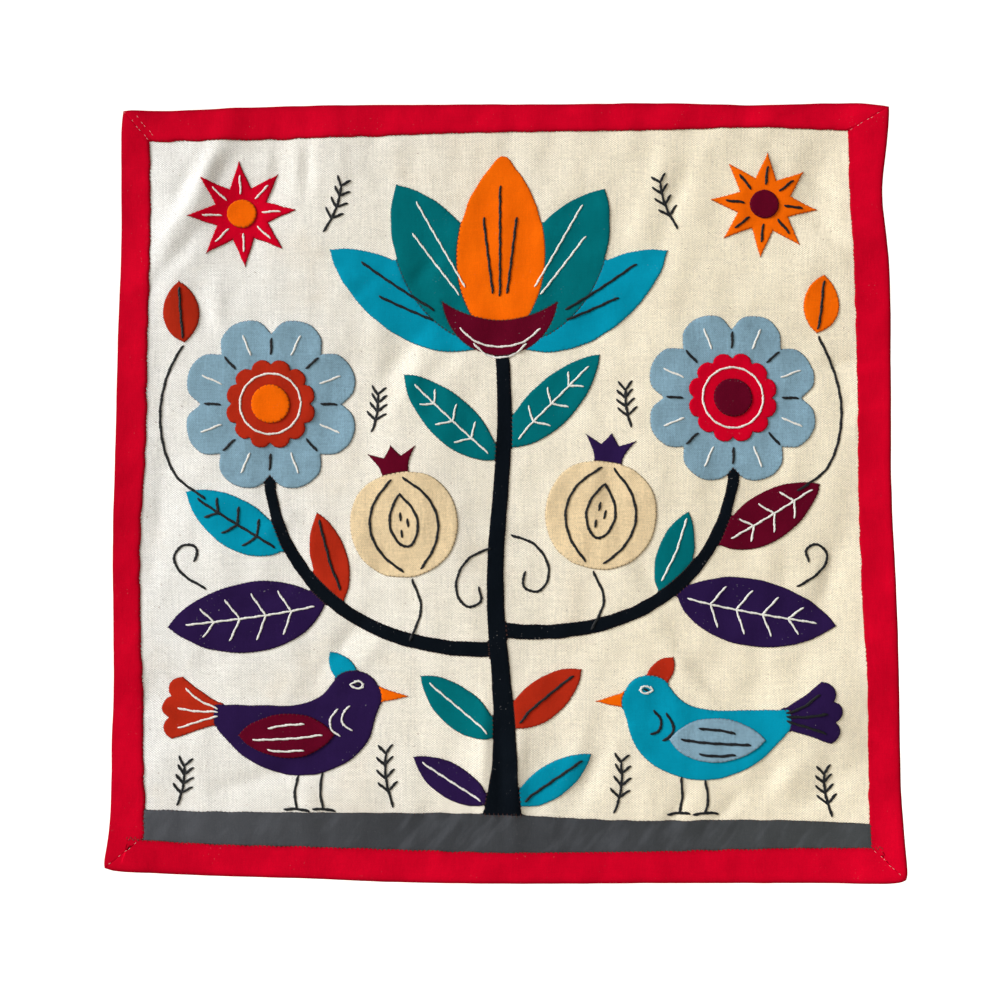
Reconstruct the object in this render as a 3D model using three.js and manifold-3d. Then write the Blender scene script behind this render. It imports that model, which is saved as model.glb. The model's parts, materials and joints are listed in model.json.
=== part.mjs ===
// An applique wall hanging: a square of cream canvas with cut cotton pieces sewn on to it, a grey strip
// along its foot, and a red cotton edging folded over its edge and mitred at the corners.
// Millimetres, +Z up. The front faces -Y, +X is to the right, and the origin is the middle of the top edge.
import * as THREE from "three";
import { mergeVertices } from "three/addons/utils/BufferGeometryUtils.js";
import Module from "manifold-3d";

const wasm = await Module();
wasm.setup();

// Cloth, and how far each layer stands out from the back of the ground towards the front.
const GAP = 0.3;
const CANVAS = 1.4;
const COTTON = 1.0;
const GROUND = [0, CANVAS];
const FIRST = [CANVAS + GAP, CANVAS + GAP + COTTON];
const SECOND = [FIRST[1] + GAP, FIRST[1] + GAP + COTTON];
const THIRD = [SECOND[1] + GAP, SECOND[1] + GAP + COTTON];
const TURNED_BACK = [-GAP - COTTON, -GAP];
const TURNED_WIDTH = 9; // of the edging's leaf behind the ground

// The field that the sheet is cut from, and the size of its facets.
const FIELD = { left: -264, right: 264, bottom: -510, top: 18, depth: 40 };
const FACETS = 18;
const PRISM_DEPTH = 60;
const SHARPEST = 0.35; // how far a sharp corner may stretch where an outline is grown, as 1 in

// The edging, read along each side: the outer edge and the inner edge, both uneven.
const TOP_EDGE = [
  { x: -215, outer: -4.4, inner: -23.6 },
  { x: -163, outer: -1.7, inner: -22.2 },
  { x: -97, outer: -0.3, inner: -20.1 },
  { x: -32, outer: 0.3, inner: -18.0 },
  { x: 33, outer: 0.3, inner: -16.3 },
  { x: 98, outer: 1.0, inner: -15.4 },
  { x: 163, outer: -0.2, inner: -14.3 },
  { x: 222, outer: 0.9, inner: -15.6 },
];
const BOTTOM_EDGE = [
  { x: -236, outer: -490.0, inner: -470.6 },
  { x: -189, outer: -493.1, inner: -474.4 },
  { x: -126, outer: -495.0, inner: -475.9 },
  { x: -63, outer: -497.5, inner: -478.2 },
  { x: 0, outer: -498.3, inner: -480.0 },
  { x: 95, outer: -498.0, inner: -479.5 },
  { x: 174, outer: -498.0, inner: -476.9 },
  { x: 236, outer: -497.4, inner: -476.4 },
];
const LEFT_EDGE = [
  { z: -24, outer: -249.0, inner: -232.1 },
  { z: -89, outer: -248.0, inner: -230.9 },
  { z: -154, outer: -248.9, inner: -231.8 },
  { z: -219, outer: -249.4, inner: -231.6 },
  { z: -283, outer: -250.1, inner: -234.8 },
  { z: -347, outer: -248.5, inner: -233.0 },
  { z: -410, outer: -248.0, inner: -230.0 },
  { z: -464, outer: -248.6, inner: -227.5 },
];
const RIGHT_EDGE = [
  { z: -23, outer: 248.2, inner: 224.1 },
  { z: -60, outer: 244.4, inner: 224.3 },
  { z: -105, outer: 248.0, inner: 226.0 },
  { z: -170, outer: 248.6, inner: 227.4 },
  { z: -240, outer: 246.8, inner: 226.8 },
  { z: -315, outer: 248.8, inner: 227.8 },
  { z: -378, outer: 249.5, inner: 229.9 },
  { z: -440, outer: 249.6, inner: 230.2 },
];
const CORNERS = {
  topLeft: { outer: [-248.7, -4.3], inner: [-232.3, -23.5] },
  topRight: { outer: [249.9, -1.0], inner: [224.2, -15.9] },
  bottomLeft: { outer: [-251.6, -489.4], inner: [-227.2, -470.4] },
  bottomRight: { outer: [253.0, -497.5], inner: [229.9, -476.4] },
};
const EDGE_STEP = 24;

// The top line of the grey strip, which rises and falls a little.
const STRIP_LINE = [
  { x: -240, z: -452.0 },
  { x: -192, z: -453.8 },
  { x: -95, z: -454.6 },
  { x: -3, z: -456.5 },
  { x: 92, z: -460.0 },
  { x: 174, z: -460.2 },
  { x: 240, z: -462.2 },
];

// The main folds: each a soft ridge, or a trough where the height is negative. The lean is the angle
// of its line from upright, clockwise, and the length and width are from its middle to where it fades.
const FOLDS = [
  { x: -203, z: -66, lean: 25, length: 54, width: 20, height: 3.2 },
  { x: -234, z: -92, lean: 25, length: 46, width: 20, height: -1.8 },
  { x: -164, z: -58, lean: 12, length: 46, width: 22, height: -1.6 },
  { x: -112, z: -36, lean: 4, length: 36, width: 20, height: 1.5 },
  { x: -222, z: -262, lean: 8, length: 62, width: 24, height: -1.8 },
  { x: -214, z: -382, lean: 98, length: 38, width: 19, height: -2.8 },
  { x: -204, z: -420, lean: 100, length: 50, width: 20, height: 2.4 },
  { x: -80, z: -168, lean: 40, length: 64, width: 26, height: -2.0 },
  { x: -46, z: -262, lean: -12, length: 120, width: 36, height: 2.6 },
  { x: -2, z: -424, lean: 2, length: 52, width: 20, height: 2.2 },
  { x: 206, z: -52, lean: 12, length: 44, width: 20, height: -2.4 },
  { x: 200, z: -104, lean: 55, length: 48, width: 21, height: 2.2 },
  { x: 210, z: -172, lean: 86, length: 42, width: 20, height: -2.0 },
  { x: 96, z: -228, lean: 8, length: 150, width: 42, height: 2.4 },
  { x: 214, z: -304, lean: 20, length: 50, width: 22, height: -1.6 },
  { x: 184, z: -404, lean: 47, length: 68, width: 21, height: 3.2 },
  { x: 150, z: -442, lean: 50, length: 46, width: 20, height: -2.0 },
  { x: -118, z: -446, lean: 80, length: 90, width: 28, height: 2.0 },
  { x: -254, z: -494, lean: 45, length: 36, width: 36, height: 6.0 },
  { x: 256, z: -500, lean: -45, length: 40, width: 40, height: 7.0 },
  { x: -252, z: -2, lean: -45, length: 26, width: 26, height: 3.0 },
  { x: 252, z: 0, lean: 45, length: 28, width: 28, height: 3.5 },
];

// The cottons.
const CREAM = 0xe9e2d3;
const RED = 0xd00329;
const GREY = 0x4b4f54;
const BLACK = 0x0c1218;
const PURPLE = 0x281644;
const MAROON = 0x5e0821;
const RUST = 0xab2b18;
const ORANGE = 0xf26a08;
const TEAL = 0x056a6e;
const TURQUOISE = 0x0a8ca8;
const LIGHT_BLUE = 0x84a4b4;
const BEIGE = 0xe0c9a0;

// The plant: a trunk, and a branch on each side that climbs to a round flower.
const TRUNK = {
  x: -3, foot: -470, top: -150, footWidth: 32, waist: 13, tip: 9, flare: 11, sway: 3, bends: 3, stations: 14,
};
const BRANCHES = [
  { side: "left", path: [[-3, -352], [-64, -356], [-146, -330], [-152, -232]] },
  { side: "right", path: [[-3, -340], [58, -348], [142, -326], [148, -228]] },
];
const BRANCH_WIDTH = { root: 10, tip: 7, steps: 14 };

// Leaves, petals and buds: where each starts, which way it points, clockwise from straight up, its
// length, its half width, and how far its tip bends to the right.
const LEAVES = [
  { name: "leaf_upper_left", x: -4, z: -232, turn: -52, length: 82, half: 15, bend: 6, colour: TEAL },
  { name: "leaf_upper_right", x: -1, z: -224, turn: 50, length: 86, half: 15, bend: -6, colour: TEAL },
  { name: "leaf_outer_left", x: -113, z: -322, turn: -106, length: 102, half: 23, bend: 12, colour: PURPLE },
  { name: "leaf_outer_right", x: 108, z: -317, turn: 108, length: 104, half: 22, bend: -12, colour: PURPLE },
  { name: "leaf_climbing_left", x: -140, z: -290, turn: -64, length: 74, half: 16, bend: 6, colour: TURQUOISE },
  { name: "leaf_climbing_right", x: 136, z: -286, turn: 64, length: 76, half: 16, bend: -6, colour: MAROON },
  { name: "leaf_inner_left", x: -105, z: -326, turn: -10, length: 62, half: 12, bend: -4, colour: RUST },
  { name: "leaf_inner_right", x: 101, z: -321, turn: 12, length: 58, half: 12, bend: 4, colour: TEAL },
  { name: "leaf_lower_left", x: -4, z: -407, turn: -58, length: 62, half: 13, bend: 6, colour: TEAL },
  { name: "leaf_lower_right", x: 0, z: -400, turn: 60, length: 60, half: 13, bend: -6, colour: RUST },
  { name: "leaf_foot_left", x: -9, z: -448, turn: -66, length: 56, half: 11, bend: 6, colour: PURPLE },
  { name: "leaf_foot_right", x: 5, z: -449, turn: 64, length: 58, half: 11, bend: -6, colour: TURQUOISE },
  { name: "bud_left", x: -206, z: -156, turn: -10, length: 40, half: 12, bend: 3, colour: RUST },
  { name: "bud_right", x: 201, z: -150, turn: 12, length: 38, half: 12, bend: -3, colour: ORANGE },
];
const PETALS = {
  middle: { x: -3, z: -158, turn: 0, length: 124, half: 29, bend: 2, colour: ORANGE },
  innerLeft: { x: -8, z: -158, turn: -33, length: 122, half: 27, bend: 5, colour: TEAL },
  innerRight: { x: 2, z: -158, turn: 34, length: 120, half: 27, bend: -5, colour: TEAL },
  outerLeft: { x: -12, z: -158, turn: -66, length: 118, half: 22, bend: 16, colour: TURQUOISE },
  outerRight: { x: 6, z: -158, turn: 66, length: 116, half: 22, bend: -16, colour: TURQUOISE },
};
const LEAF_STEPS = 10;
const LEAF_SWELL = { low: 0.24, lowHalf: 1.5, high: 0.8, highHalf: 1.1, bend: 0.5 }; // of the length and half
const CUP = { x: -3, rim: -142, foot: -176, half: 37, rise: 12, belly: 0.8 };

// Round flowers, fruits and stars, with their left and right ones not quite alike.
const ROSETTES = [
  { side: "left", x: -150, z: -196, outer: 57, round: RUST, button: ORANGE },
  { side: "right", x: 146, z: -192, outer: 56, round: RED, button: MAROON },
];
const ROSETTE = { lobes: 8, notch: 0.8, scallops: 12, roundOuter: 29, roundInner: 25.5, button: 12.5 };
const FRUITS = [
  { side: "left", x: -64, z: -274, radius: 33, tilt: -10, crown: MAROON },
  { side: "right", x: 61, z: -268, radius: 34, tilt: 8, crown: PURPLE },
];
// In radii of the fruit, across and up: the half of its body as a curve, and the points of its crown.
const FRUIT_HALF = [[0, -1], [1.36, -1], [1.36, 0.95], [0.2, 1.02]];
const FRUIT_CROWN = [
  [0.22, 0.9], [0.3, 1.2], [0.48, 1.5], [0.17, 1.36], [0, 1.58],
  [-0.17, 1.36], [-0.48, 1.5], [-0.3, 1.2], [-0.22, 0.9],
];
const STARS = [
  { side: "left", x: -170, z: -72, turn: 4, colour: RED, round: ORANGE },
  { side: "right", x: 168, z: -66, turn: -5, colour: ORANGE, round: MAROON },
];
const STAR = { points: 8, outer: 35, inner: 18, round: 9.5 };
const LOBE_STEPS = 6;
const LOBE_ROUNDNESS = 0.6;
const ROUND_STEPS = 20;

// Birds that stand at the foot of the hanging and face the trunk.
const BIRDS = [
  {
    side: "left", x: -134, z: -402, facing: 1, size: 0.95,
    body: PURPLE, wing: MAROON, tail: RUST, crest: TURQUOISE,
  },
  {
    side: "right", x: 130, z: -405, facing: -1, size: 0.95,
    body: TURQUOISE, wing: LIGHT_BLUE, tail: PURPLE, crest: RUST,
  },
];
const CURVE_STEPS = 6;

// How far the cloth stands out of flat at a place, from its folds.
function relief(x, z) {
  let sum = 0;
  for (const fold of FOLDS) {
    const lean = THREE.MathUtils.degToRad(fold.lean);
    const dx = x - fold.x;
    const dz = z - fold.z;
    const along = (dx * Math.sin(lean) + dz * Math.cos(lean)) / fold.length;
    const across = (dx * Math.cos(lean) - dz * Math.sin(lean)) / fold.width;
    sum += fold.height * Math.exp(-along * along - across * across);
  }
  return sum;
}

function solidOf(geometry) {
  geometry.deleteAttribute("normal");
  geometry.deleteAttribute("uv");
  const merged = mergeVertices(geometry, 1e-4);
  const vertProperties = merged.attributes.position.array;
  const triVerts = new Uint32Array(merged.index.array);
  return new wasm.Manifold(new wasm.Mesh({ numProp: 3, vertProperties, triVerts }));
}

// All that lies behind one level of the folded cloth. Each level is kept once it is made.
const levelsMade = new Map();

function behind(level) {
  if (levelsMade.has(level)) return levelsMade.get(level);
  const wide = FIELD.right - FIELD.left;
  const high = FIELD.top - FIELD.bottom;
  const geometry = new THREE.BoxGeometry(wide, FIELD.depth, high, FACETS, 1, FACETS);
  geometry.translate((FIELD.left + FIELD.right) / 2, 0, (FIELD.bottom + FIELD.top) / 2);
  const place = geometry.attributes.position;
  for (let i = 0; i < place.count; i++) {
    if (place.getY(i) < 0) place.setY(i, -level - relief(place.getX(i), place.getZ(i)));
  }
  levelsMade.set(level, solidOf(geometry));
  return levelsMade.get(level);
}

// An outline on the front of the hanging, run straight through from front to back.
function prism(outline) {
  const geometry = new THREE.ExtrudeGeometry(new THREE.Shape(outline), {
    depth: PRISM_DEPTH,
    bevelEnabled: false,
  });
  geometry.rotateX(Math.PI / 2);
  geometry.translate(0, PRISM_DEPTH / 2, 0);
  return solidOf(geometry);
}

// An anticlockwise outline, grown by a distance all round, or drawn in where it is negative.
function grow(outline, distance) {
  return outline.map((point, i) => {
    const arriving = point.clone().sub(outline.at(i - 1)).normalize();
    const leaving = outline[(i + 1) % outline.length].clone().sub(point).normalize();
    const along = arriving.clone().add(leaving).normalize();
    const outward = new THREE.Vector2(along.y, -along.x);
    const reach = distance / Math.max(along.dot(arriving), SHARPEST);
    return point.clone().addScaledVector(outward, reach);
  });
}

// Cloth cut to an outline, between two levels, and kept clear of the outlines that lie over it.
function cut(outline, [back, front], clearOf = []) {
  let solid = behind(front).intersect(prism(outline)).subtract(behind(back));
  for (const other of clearOf) solid = solid.subtract(prism(grow(other, GAP)));
  return solid;
}

const hanging = new THREE.Group();

function sew(name, solid, colour, roughness = 0.95) {
  const { vertProperties, triVerts } = solid.getMesh();
  const geometry = new THREE.BufferGeometry();
  geometry.setAttribute("position", new THREE.BufferAttribute(vertProperties, 3));
  geometry.setIndex(new THREE.BufferAttribute(triVerts, 1));
  const material = new THREE.MeshStandardMaterial({ color: colour, roughness, metalness: 0 });
  const mesh = new THREE.Mesh(geometry, material);
  mesh.name = name;
  hanging.add(mesh);
}

// The edging's four sides. Each line runs anticlockwise round the hanging.
const at = ([x, z]) => new THREE.Vector2(x, z);

function edgeLine(start, rows, end) {
  const curve = new THREE.SplineCurve([at(start), ...rows, at(end)]);
  return curve.getSpacedPoints(Math.round(curve.getLength() / EDGE_STEP));
}

// A row of a level side gives x and the edges' z, and a row of an upright side the other way round.
function side(name, from, rows, to) {
  const points = (edge) =>
    rows.map((row) =>
      "x" in row ? new THREE.Vector2(row.x, row[edge]) : new THREE.Vector2(row[edge], row.z),
    );
  return {
    name,
    outer: edgeLine(from.outer, points("outer"), to.outer),
    inner: edgeLine(from.inner, points("inner"), to.inner),
  };
}

const SIDES = [
  side("edging_bottom", CORNERS.bottomLeft, BOTTOM_EDGE, CORNERS.bottomRight),
  side("edging_right", CORNERS.bottomRight, RIGHT_EDGE.toReversed(), CORNERS.topRight),
  side("edging_top", CORNERS.topRight, TOP_EDGE.toReversed(), CORNERS.topLeft),
  side("edging_left", CORNERS.topLeft, LEFT_EDGE, CORNERS.bottomLeft),
];

// The lines round the hanging as whole loops, without the corner point that each side repeats.
const outerLoop = SIDES.flatMap(({ outer }) => outer.slice(0, -1));
const innerLoop = SIDES.flatMap(({ inner }) => inner.slice(0, -1));

function mitre(corner) {
  const outer = at(corner.outer);
  const inner = at(corner.inner);
  const along = inner.clone().sub(outer).normalize();
  const half = new THREE.Vector2(-along.y, along.x).multiplyScalar(GAP / 2);
  const beyond = along.multiplyScalar(COTTON + TURNED_WIDTH);
  const from = outer.sub(beyond);
  const to = inner.add(beyond);
  return [
    from.clone().add(half), from.clone().sub(half), to.clone().sub(half), to.clone().add(half),
  ];
}

// Each side is a full thickness of cloth, then hollowed where the ground lies between its leaves and
// where the leaf behind the ground has ended.
function edging({ name, outer, inner }) {
  const strip = [...outer, ...inner.toReversed()];
  const whole = [TURNED_BACK[0], FIRST[1]];
  const betweenLeaves = [TURNED_BACK[1], FIRST[0]];
  const pastTheTurn = [TURNED_BACK[0] - COTTON, CANVAS / 2];
  let solid = cut(strip, whole);
  solid = solid.subtract(cut(grow(outerLoop, -COTTON), betweenLeaves));
  solid = solid.subtract(cut(grow(outerLoop, -TURNED_WIDTH), pastTheTurn));
  for (const corner of Object.values(CORNERS)) solid = solid.subtract(prism(mitre(corner)));
  sew(name, solid, RED);
}

sew("ground", cut(grow(outerLoop, -COTTON - GAP), GROUND), CREAM);
SIDES.forEach(edging);

// The grey strip butts against the edging's inner line.
const stripLine = new THREE.SplineCurve(STRIP_LINE.map(({ x, z }) => new THREE.Vector2(x, z)))
  .getSpacedPoints(Math.round((STRIP_LINE.at(-1).x - STRIP_LINE[0].x) / EDGE_STEP));
const stripOutline = [
  new THREE.Vector2(STRIP_LINE[0].x, FIELD.bottom),
  new THREE.Vector2(STRIP_LINE.at(-1).x, FIELD.bottom),
  ...stripLine.toReversed(),
];
sew("grey_strip", cut(stripOutline, FIRST).intersect(prism(grow(innerLoop, -GAP))), GREY);

// A leaf or a petal: two curved edges that meet at its foot and its tip.
function leaf({ x, z, turn, length, half, bend }) {
  const angle = THREE.MathUtils.degToRad(turn);
  const place = (across, along) =>
    new THREE.Vector2(
      x + across * Math.cos(angle) + along * Math.sin(angle),
      z - across * Math.sin(angle) + along * Math.cos(angle),
    );
  const foot = place(0, 0);
  const tip = place(bend, length);
  const edge = (way) =>
    new THREE.CubicBezierCurve(
      foot,
      place(way * half * LEAF_SWELL.lowHalf, length * LEAF_SWELL.low),
      place(way * half * LEAF_SWELL.highHalf + bend * LEAF_SWELL.bend, length * LEAF_SWELL.high),
      tip,
    ).getPoints(LEAF_STEPS);
  return [...edge(1), ...edge(-1).reverse().slice(1, -1)];
}

// A round with bumps: the radius runs from a dip to a bump and back.
function lobed({ x, z }, count, outer, inner) {
  const steps = count * LOBE_STEPS;
  return Array.from({ length: steps }, (_, i) => {
    const angle = (i / steps) * 2 * Math.PI;
    const bump = Math.abs(Math.sin((count * angle) / 2)) ** LOBE_ROUNDNESS;
    const radius = inner + (outer - inner) * bump;
    return new THREE.Vector2(x + radius * Math.cos(angle), z + radius * Math.sin(angle));
  });
}

function disc({ x, z }, radius) {
  return Array.from({ length: ROUND_STEPS }, (_, i) => {
    const angle = (i / ROUND_STEPS) * 2 * Math.PI;
    return new THREE.Vector2(x + radius * Math.cos(angle), z + radius * Math.sin(angle));
  });
}

// Rosettes: petals in one piece, a scalloped round on them, and a button on that.
const rosettes = {};
for (const flower of ROSETTES) {
  const petals = lobed(flower, ROSETTE.lobes, flower.outer, flower.outer * ROSETTE.notch);
  const round = lobed(flower, ROSETTE.scallops, ROSETTE.roundOuter, ROSETTE.roundInner);
  rosettes[flower.side] = petals;
  sew(`rosette_${flower.side}`, cut(petals, FIRST), LIGHT_BLUE);
  sew(`rosette_round_${flower.side}`, cut(round, SECOND), flower.round);
  sew(`rosette_button_${flower.side}`, cut(disc(flower, ROSETTE.button), THIRD), flower.button);
}

// The lotus: a cup, and five petals that tuck in behind each other and behind the cup.
const cupRim = new THREE.QuadraticBezierCurve(
  at([CUP.x + CUP.half, CUP.rim + CUP.rise]),
  at([CUP.x, CUP.rim - CUP.rise]),
  at([CUP.x - CUP.half, CUP.rim + CUP.rise]),
).getPoints(LEAF_STEPS);
const cupSide = new THREE.CubicBezierCurve(
  at([CUP.x - CUP.half, CUP.rim + CUP.rise]),
  at([CUP.x - CUP.half * CUP.belly, CUP.foot]),
  at([CUP.x + CUP.half * CUP.belly, CUP.foot]),
  at([CUP.x + CUP.half, CUP.rim + CUP.rise]),
).getPoints(LEAF_STEPS * 2);
const cup = [...cupRim, ...cupSide.slice(1, -1)];
const petals = {};
for (const [key, row] of Object.entries(PETALS)) petals[key] = leaf(row);
const PETAL_ORDER = [
  ["petal_middle", "middle", []],
  ["petal_inner_left", "innerLeft", ["middle"]],
  ["petal_inner_right", "innerRight", ["middle"]],
  ["petal_outer_left", "outerLeft", ["innerLeft", "middle"]],
  ["petal_outer_right", "outerRight", ["innerRight", "middle"]],
];
sew("lotus_cup", cut(cup, FIRST), MAROON);
for (const [name, key, behind] of PETAL_ORDER) {
  const clearOf = [cup, ...behind.map((other) => petals[other])];
  sew(name, cut(petals[key], FIRST, clearOf), PETALS[key].colour);
}

// The trunk stands on the grey strip and ends under the cup.
function trunkSide(way) {
  return Array.from({ length: TRUNK.stations + 1 }, (_, i) => {
    const up = i / TRUNK.stations;
    const flare = (TRUNK.footWidth - TRUNK.waist) * Math.exp(-up * TRUNK.flare);
    const width = TRUNK.waist + (TRUNK.tip - TRUNK.waist) * up + flare;
    const middle = TRUNK.x + TRUNK.sway * Math.sin(up * TRUNK.bends * Math.PI);
    return new THREE.Vector2(
      middle + (way * width) / 2,
      TRUNK.foot + (TRUNK.top - TRUNK.foot) * up,
    );
  });
}
const trunk = [...trunkSide(1), ...trunkSide(-1).reverse()];
sew("trunk", cut(trunk, FIRST, [stripOutline, cup]), BLACK);

// A branch is a ribbon along a curve, tucked in at the trunk and at its flower.
const wood = [trunk];
for (const { side: name, path } of BRANCHES) {
  const curve = new THREE.CubicBezierCurve(...path.map(at));
  const edge = (way) =>
    Array.from({ length: BRANCH_WIDTH.steps + 1 }, (_, i) => {
      const t = i / BRANCH_WIDTH.steps;
      const width = BRANCH_WIDTH.root + (BRANCH_WIDTH.tip - BRANCH_WIDTH.root) * t;
      const along = curve.getTangent(t);
      const out = new THREE.Vector2(along.y, -along.x).multiplyScalar((way * width) / 2);
      return curve.getPoint(t).add(out);
    });
  const ribbon = [...edge(1), ...edge(-1).reverse()];
  wood.push(ribbon);
  sew(`branch_${name}`, cut(ribbon, FIRST, [trunk, rosettes[name]]), BLACK);
}

// Each leaf is tucked in behind the trunk or the branch that it grows from.
for (const row of LEAVES) sew(row.name, cut(leaf(row), FIRST, wood), row.colour);

// Fruits: a round body that draws up to a neck, and a crown of three points on it.
for (const { side: name, x, z, radius, tilt, crown } of FRUITS) {
  const turn = THREE.MathUtils.degToRad(tilt);
  const place = ([across, up]) =>
    new THREE.Vector2(
      x + radius * (across * Math.cos(turn) + up * Math.sin(turn)),
      z + radius * (up * Math.cos(turn) - across * Math.sin(turn)),
    );
  const half = (way) => {
    const path = FRUIT_HALF.map(([across, up]) => place([way * across, up]));
    return new THREE.CubicBezierCurve(...path).getPoints(LEAF_STEPS);
  };
  const body = [...half(1), ...half(-1).reverse().slice(0, -1)];
  sew(`fruit_${name}`, cut(body, FIRST), BEIGE);
  sew(`fruit_crown_${name}`, cut(FRUIT_CROWN.map(place), FIRST, [body]), crown);
}

// Stars of eight points, each with a round in the middle.
for (const star of STARS) {
  const points = Array.from({ length: STAR.points * 2 }, (_, i) => {
    const radius = i % 2 ? STAR.inner : STAR.outer;
    const angle = (i / STAR.points) * Math.PI + THREE.MathUtils.degToRad(star.turn);
    return new THREE.Vector2(star.x + radius * Math.cos(angle), star.z + radius * Math.sin(angle));
  });
  sew(`star_${star.side}`, cut(points, FIRST), star.colour);
  sew(`star_round_${star.side}`, cut(disc(star, STAR.round), SECOND), star.round);
}

// A bird, drawn facing right about the middle of its body, and turned over where it faces left.
const BIRD_BODY = {
  start: [-52, 3],
  curves: [
    [[-36, -21], [-14, -32], [8, -31]],
    [[32, -30], [53, -15], [55, 6]],
    [[56, 12], [61, 17], [58, 25]],
    [[54, 41], [33, 42], [26, 30]],
    [[20, 20], [10, 15], [-6, 15]],
    [[-24, 15], [-40, 16], [-52, 15]],
  ],
};
const BIRD_TAIL = {
  start: [-44, 3.5],
  curves: [
    [[-56, 2], [-68, -4], [-80, -7]],
    [[-87, -4], [-88, 3], [-83, 7]],
    [[-90, 11], [-89, 19], [-82, 21]],
    [[-86, 27], [-82, 34], [-74, 34]],
    [[-64, 26], [-54, 18], [-44, 14.5]],
  ],
};
const BIRD_BEAK = [[46, 31], [50, 15], [77, 21]];
const BIRD_WING = { x: 28, z: -4, turn: -93, length: 64, half: 15, bend: 3 };
const BIRD_CREST = { x: 40, z: 28, turn: -24, length: 27, half: 8, bend: -5 };

for (const bird of BIRDS) {
  const placed = (outline) => {
    const moved = outline.map((point) =>
      new THREE.Vector2(
        bird.x + bird.facing * bird.size * point.x,
        bird.z + bird.size * point.y,
      ),
    );
    return bird.facing > 0 ? moved : moved.reverse();
  };
  const drawn = ({ start, curves }) => {
    const shape = new THREE.Shape();
    shape.moveTo(...start);
    for (const [a, b, end] of curves) shape.bezierCurveTo(...a, ...b, ...end);
    return placed(shape.getPoints(CURVE_STEPS));
  };
  const body = drawn(BIRD_BODY);
  sew(`bird_body_${bird.side}`, cut(body, FIRST), bird.body);
  sew(`bird_tail_${bird.side}`, cut(drawn(BIRD_TAIL), FIRST, [body]), bird.tail);
  sew(`bird_beak_${bird.side}`, cut(placed(BIRD_BEAK.map(at)), FIRST, [body]), ORANGE);
  sew(`bird_crest_${bird.side}`, cut(placed(leaf(BIRD_CREST)), FIRST, [body]), bird.crest);
  sew(`bird_wing_${bird.side}`, cut(placed(leaf(BIRD_WING)), SECOND), bird.wing);
}

export default hanging;
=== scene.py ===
import json
import math
from collections import namedtuple

import bmesh
import bpy
import numpy as np
from mathutils import Matrix, Vector
from mathutils.bvhtree import BVHTree
from mathutils.kdtree import KDTree


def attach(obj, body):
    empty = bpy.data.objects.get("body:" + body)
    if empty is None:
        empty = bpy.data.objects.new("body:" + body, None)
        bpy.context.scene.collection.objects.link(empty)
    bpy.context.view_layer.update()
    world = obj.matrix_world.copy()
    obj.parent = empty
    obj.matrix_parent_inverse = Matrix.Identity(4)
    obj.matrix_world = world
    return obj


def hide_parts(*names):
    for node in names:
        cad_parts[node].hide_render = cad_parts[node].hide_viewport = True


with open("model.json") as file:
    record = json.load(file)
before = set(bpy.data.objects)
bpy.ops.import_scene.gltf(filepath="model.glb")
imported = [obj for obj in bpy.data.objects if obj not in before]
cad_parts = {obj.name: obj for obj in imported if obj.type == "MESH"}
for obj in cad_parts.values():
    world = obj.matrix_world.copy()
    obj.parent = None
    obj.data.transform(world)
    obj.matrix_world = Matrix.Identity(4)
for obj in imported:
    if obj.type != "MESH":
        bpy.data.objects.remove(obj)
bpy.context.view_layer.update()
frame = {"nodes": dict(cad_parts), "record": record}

# The ground: a square of unbleached cotton canvas, the cloth that all the rest is sewn to. It has hung
# and been folded away, so it has soft folds, a few sharper creases and puckers under the top edging.
# Sizes are millimetres, and a level is how far out from the back of the cloth something lies.
MM = 0.001
GROUND_BACK = 0.5
GROUND_FRONT = 1.4
GROUND_SIDE = 500
GROUND_MARGIN = 2.0
GROUND_STEP = 3.0

Corner = namedtuple("Corner", "outer inner")
TOP_LEFT = Corner((-247.4, -4.9), (-230.6, -24.8))
TOP_RIGHT = Corner((249.4, -2.4), (223.2, -17.4))
BOTTOM_LEFT = Corner((-250.4, -488.4), (-225.4, -468.8))
BOTTOM_RIGHT = Corner((250.8, -495.8), (228.6, -474.6))

# The uneven edges of the hanging: how far along a side, then its outer line and the edging's inner one.
Edge = namedtuple("Edge", "along outer inner")
TOP_EDGE = [
    Edge(-215, -4.2, -24.8),
    Edge(-163, -1.7, -23.6),
    Edge(-97, -0.3, -21.8),
    Edge(-32, 0.2, -19.2),
    Edge(33, 0.3, -18.0),
    Edge(98, 1.0, -17.2),
    Edge(163, -0.2, -15.4),
    Edge(222, 0.9, -17.2),
]
BOTTOM_EDGE = [
    Edge(-236, -490.4, -469.2),
    Edge(-189, -493.6, -472.9),
    Edge(-126, -495.5, -474.8),
    Edge(-63, -498.0, -476.8),
    Edge(0, -498.8, -478.6),
    Edge(95, -498.5, -477.8),
    Edge(174, -498.4, -476.0),
    Edge(236, -497.6, -474.9),
]
LEFT_EDGE = [
    Edge(-24, -248.6, -230.2),
    Edge(-89, -248.2, -229.0),
    Edge(-154, -249.0, -229.6),
    Edge(-219, -249.4, -229.7),
    Edge(-283, -250.1, -232.6),
    Edge(-347, -248.5, -230.7),
    Edge(-410, -248.0, -227.8),
    Edge(-464, -248.0, -225.5),
]
RIGHT_EDGE = [
    Edge(-23, 248.2, 223.4),
    Edge(-60, 244.7, 223.5),
    Edge(-105, 248.3, 225.1),
    Edge(-170, 248.6, 226.6),
    Edge(-240, 247.2, 226.0),
    Edge(-315, 249.1, 227.2),
    Edge(-378, 249.8, 229.2),
    Edge(-440, 249.7, 229.2),
]

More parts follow.
